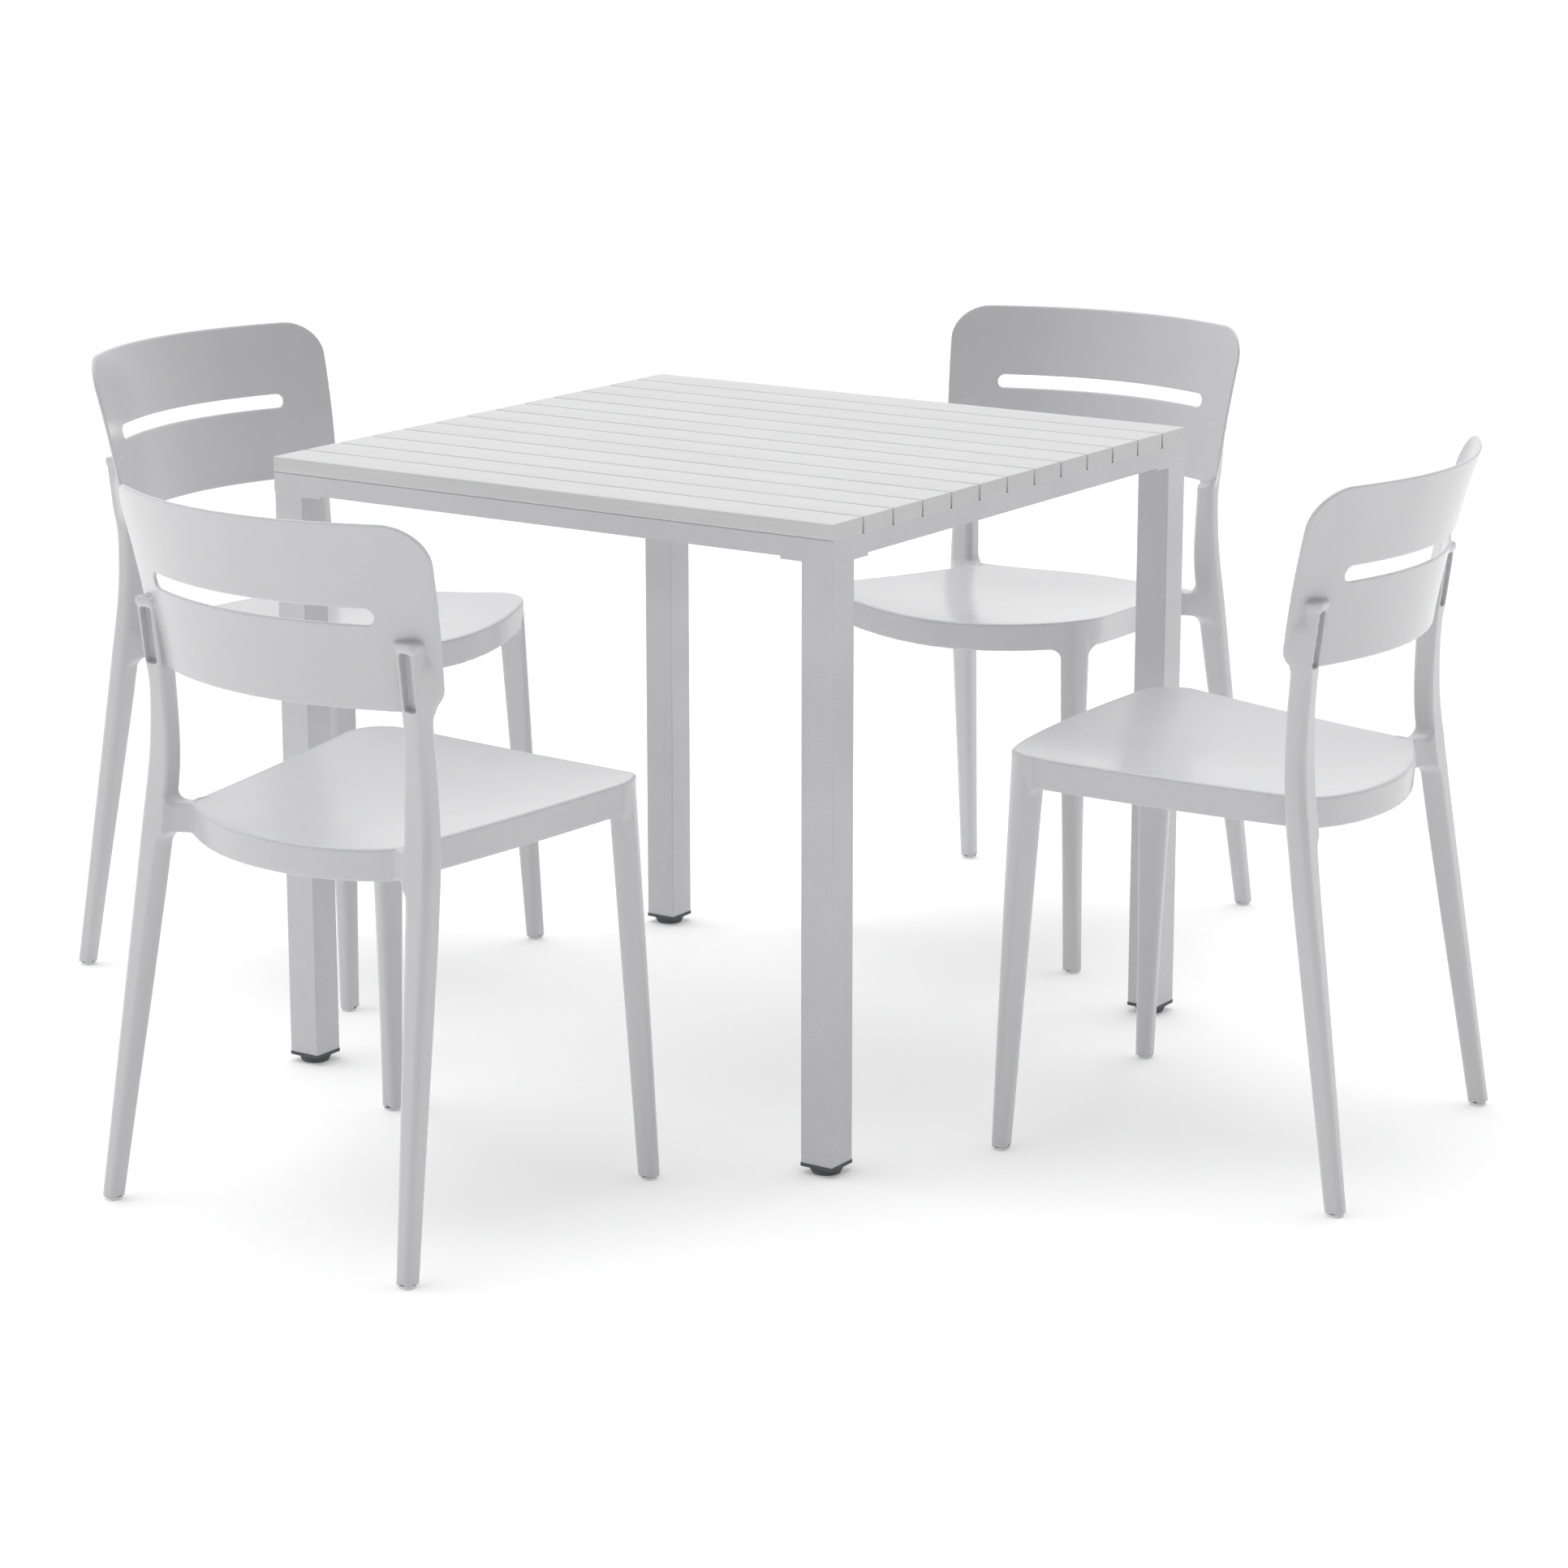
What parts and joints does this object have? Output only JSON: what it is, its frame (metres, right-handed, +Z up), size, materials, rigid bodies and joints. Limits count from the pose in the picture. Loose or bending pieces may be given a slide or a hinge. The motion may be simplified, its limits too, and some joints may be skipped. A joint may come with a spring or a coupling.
{
  "type": "patio dining set",
  "caption": "Square slatted patio table on square tube legs with levelling feet, and stacking chairs moulded in one piece with curved slotted backs.",
  "frame": {"origin": "on the floor under the middle of the table top", "axes": "+Z up, slats run along X, front chair stands towards -Y and faces +Y"},
  "size_m": [1.8784, 1.8805, 0.8123],
  "materials": {
    "slat_polymer": "matt light grey polymer slat with faint lengthwise grain",
    "frame_powder_coat": "light grey powder coat, fine texture",
    "connector_alloy": "die-cast, unpainted",
    "fastener_steel": "plated stainless",
    "foot_nylon": "dark grey moulded nylon",
    "chair_polypropylene": "matt light grey moulded polypropylene, fine texture",
    "glide_nylon": "natural white nylon"
  },
  "bodies": {
    "table": {"slat_01": "slat_polymer", "slat_02": "slat_polymer", "slat_03": "slat_polymer", "slat_04": "slat_polymer", "slat_05": "slat_polymer", "slat_06": "slat_polymer", "slat_07": "slat_polymer", "slat_08": "slat_polymer", "slat_09": "slat_polymer", "slat_10": "slat_polymer", "slat_11": "slat_polymer", "slat_12": "slat_polymer", "slat_13": "slat_polymer", "rail_front": "frame_powder_coat", "rail_back": "frame_powder_coat", "rail_left": "frame_powder_coat", "rail_right": "frame_powder_coat", "middle_bar": "frame_powder_coat", "bar_brackets": "frame_powder_coat", "end_rail_screws": "fastener_steel", "side_rail_screws": "fastener_steel", "middle_bar_screws": "fastener_steel", "bracket_screws": "fastener_steel", "leg_bolts": "fastener_steel", "leg_front_left": "frame_powder_coat", "leg_plate_front_left": "frame_powder_coat", "rail_connector_front_left": "connector_alloy", "leg_cap_front_left": "foot_nylon", "leg_front_right": "frame_powder_coat", "leg_plate_front_right": "frame_powder_coat", "rail_connector_front_right": "connector_alloy", "leg_cap_front_right": "foot_nylon", "leg_back_right": "frame_powder_coat", "leg_plate_back_right": "frame_powder_coat", "rail_connector_back_right": "connector_alloy", "leg_cap_back_right": "foot_nylon", "leg_back_left": "frame_powder_coat", "leg_plate_back_left": "frame_powder_coat", "rail_connector_back_left": "connector_alloy", "leg_cap_back_left": "foot_nylon"},
    "pad_front_left": {"levelling_pad_front_left": "foot_nylon"},
    "stud_front_left": {"levelling_stud_front_left": "fastener_steel"},
    "pad_front_right": {"levelling_pad_front_right": "foot_nylon"},
    "stud_front_right": {"levelling_stud_front_right": "fastener_steel"},
    "pad_back_right": {"levelling_pad_back_right": "foot_nylon"},
    "stud_back_right": {"levelling_stud_back_right": "fastener_steel"},
    "pad_back_left": {"levelling_pad_back_left": "foot_nylon"},
    "stud_back_left": {"levelling_stud_back_left": "fastener_steel"},
    "chair_front": {"chair_front_shell": "chair_polypropylene", "chair_front_glides": "glide_nylon"},
    "chair_right": {"chair_right_shell": "chair_polypropylene", "chair_right_glides": "glide_nylon"},
    "chair_back": {"chair_back_shell": "chair_polypropylene", "chair_back_glides": "glide_nylon"},
    "chair_left": {"chair_left_shell": "chair_polypropylene", "chair_left_glides": "glide_nylon"}
  },
  "joints": [
    {"name": "pad_front_left_height", "type": "slide", "parent": "table", "child": "pad_front_left", "axis": [0, 0, -1], "range_m": [0, 0.01]},
    {"name": "stud_front_left_turn", "type": "hinge", "parent": "pad_front_left", "child": "stud_front_left", "pos_m": [-0.3785, -0.3785, 0.004], "axis": [0, 0, -1], "range_deg": [0, 2880]},
    {"name": "pad_front_right_height", "type": "slide", "parent": "table", "child": "pad_front_right", "axis": [0, 0, -1], "range_m": [0, 0.01]},
    {"name": "stud_front_right_turn", "type": "hinge", "parent": "pad_front_right", "child": "stud_front_right", "pos_m": [0.3785, -0.3785, 0.004], "axis": [0, 0, -1], "range_deg": [0, 2880]},
    {"name": "pad_back_right_height", "type": "slide", "parent": "table", "child": "pad_back_right", "axis": [0, 0, -1], "range_m": [0, 0.01]},
    {"name": "stud_back_right_turn", "type": "hinge", "parent": "pad_back_right", "child": "stud_back_right", "pos_m": [0.3785, 0.3785, 0.004], "axis": [0, 0, -1], "range_deg": [0, 2880]},
    {"name": "pad_back_left_height", "type": "slide", "parent": "table", "child": "pad_back_left", "axis": [0, 0, -1], "range_m": [0, 0.01]},
    {"name": "stud_back_left_turn", "type": "hinge", "parent": "pad_back_left", "child": "stud_back_left", "pos_m": [-0.3785, 0.3785, 0.004], "axis": [0, 0, -1], "range_deg": [0, 2880]},
    {"name": "chair_front_slide", "type": "slide", "parent": "table", "child": "chair_front", "axis": [0.0802, 0.9968, 0], "range_m": [-0.45, 0.16]},
    {"name": "chair_right_slide", "type": "slide", "parent": "table", "child": "chair_right", "axis": [-0.9966, -0.0819, 0], "range_m": [-0.45, 0.16]},
    {"name": "chair_back_slide", "type": "slide", "parent": "table", "child": "chair_back", "axis": [-0.0087, -1, 0], "range_m": [-0.45, 0.16]},
    {"name": "chair_left_slide", "type": "slide", "parent": "table", "child": "chair_left", "axis": [0.9999, 0.0105, 0], "range_m": [-0.45, 0.16]}
  ],
  "couplings": [
    {"joint": "pad_front_left_height", "follows": "stud_front_left_turn", "m_per_rad": 0.00019894},
    {"joint": "pad_front_right_height", "follows": "stud_front_right_turn", "m_per_rad": 0.00019894},
    {"joint": "pad_back_right_height", "follows": "stud_back_right_turn", "m_per_rad": 0.00019894},
    {"joint": "pad_back_left_height", "follows": "stud_back_left_turn", "m_per_rad": 0.00019894}
  ]
}
